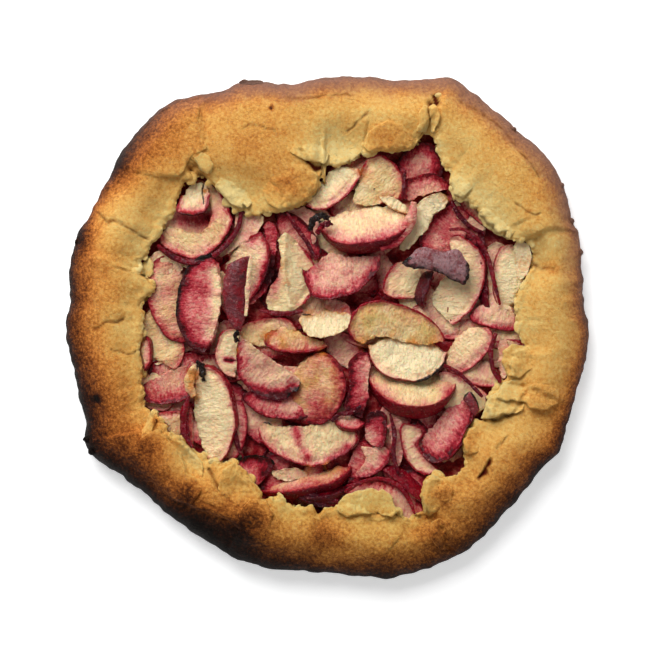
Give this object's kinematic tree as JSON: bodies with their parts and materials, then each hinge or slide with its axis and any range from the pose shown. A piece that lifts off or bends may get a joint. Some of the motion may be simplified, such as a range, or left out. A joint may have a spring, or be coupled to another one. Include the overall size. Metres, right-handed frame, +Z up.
{
  "type": "fruit tart",
  "caption": "Free-form tart: a rough round of pastry folded over at the edge, baked brown, with a heap of roasted nectarine slices open in the middle.",
  "frame": {"origin": "centre of the tart's flat underside", "axes": "+Z up out of the fruit; +X and +Y in the plane of the base, +Y towards the wide folded flap, +X along the slightly longer diameter"},
  "size_m": [0.2816, 0.2703, 0.0274],
  "materials": {
    "baked_pastry": "matte",
    "cooked_fruit": "glossy",
    "nectarine_skin": "glossy",
    "flesh_pale": "satin",
    "flesh_blush": "satin",
    "flesh_rosy": "satin",
    "flesh_red": "satin"
  },
  "bodies": {
    "root": {"pastry_case": "baked_pastry", "fruit_bed": "cooked_fruit", "slice_dark_cap": "nectarine_skin", "slice_long_pale": "flesh_pale", "slice_torn_strip": "flesh_pale", "slice_north_boat": "flesh_blush", "slice_heart_pink": "flesh_rosy", "slice_red_drop": "flesh_rosy", "slice_west_white": "flesh_pale", "slice_red_west": "flesh_red", "slice_skin_spear": "nectarine_skin", "slice_cream_small": "flesh_pale", "slice_red_southeast": "flesh_red", "slice_purple_chip": "nectarine_skin", "slice_east_pale": "flesh_pale", "slice_curl_north": "flesh_pale", "slice_east_boat": "flesh_pale", "slice_amber": "flesh_pale", "slice_centre_south": "flesh_rosy", "slice_white_nook": "flesh_pale", "slice_rosy_shelf": "flesh_rosy", "slice_ridge": "flesh_pale", "slice_south_moon": "flesh_blush", "slice_fan_pale": "flesh_pale", "slice_north_cream": "flesh_pale", "slice_northeast_torn": "flesh_pale", "slice_garnet_north": "flesh_red", "slice_north_glass": "flesh_blush", "slice_dark_post": "nectarine_skin", "slice_ring_northeast": "flesh_pale", "slice_ring_northwest": "flesh_pale", "slice_pale_nest": "flesh_pale", "slice_east_diamond": "flesh_blush", "slice_blush_arch": "flesh_blush", "slice_skin_post": "nectarine_skin", "slice_little_boat": "flesh_blush", "slice_small_curl": "flesh_red", "slice_west_long": "flesh_blush", "slice_garnet_chip": "flesh_red", "slice_crescent_south": "flesh_blush", "slice_bark_south": "nectarine_skin", "slice_pink_west": "flesh_rosy", "slice_west_strip": "nectarine_skin", "slice_rosy_west": "flesh_blush", "slice_garnet_southwest": "flesh_red", "slice_blush_southeast": "flesh_blush", "slice_pale_southeast": "flesh_pale", "slice_plum_north": "flesh_red", "slice_east_thread": "nectarine_skin", "slice_east_rim": "flesh_pale", "slice_east_fold": "flesh_blush", "slice_rim_northeast": "flesh_blush", "slice_south_arch": "flesh_rosy", "slice_dark_south": "nectarine_skin", "slice_ruby_northeast": "flesh_red", "slice_south_wedge": "nectarine_skin", "slice_veil_north": "flesh_rosy", "slice_west_broad": "flesh_pale", "slice_southwest_rim": "flesh_pale", "slice_beige_east": "flesh_blush"}
  },
  "joints": []
}
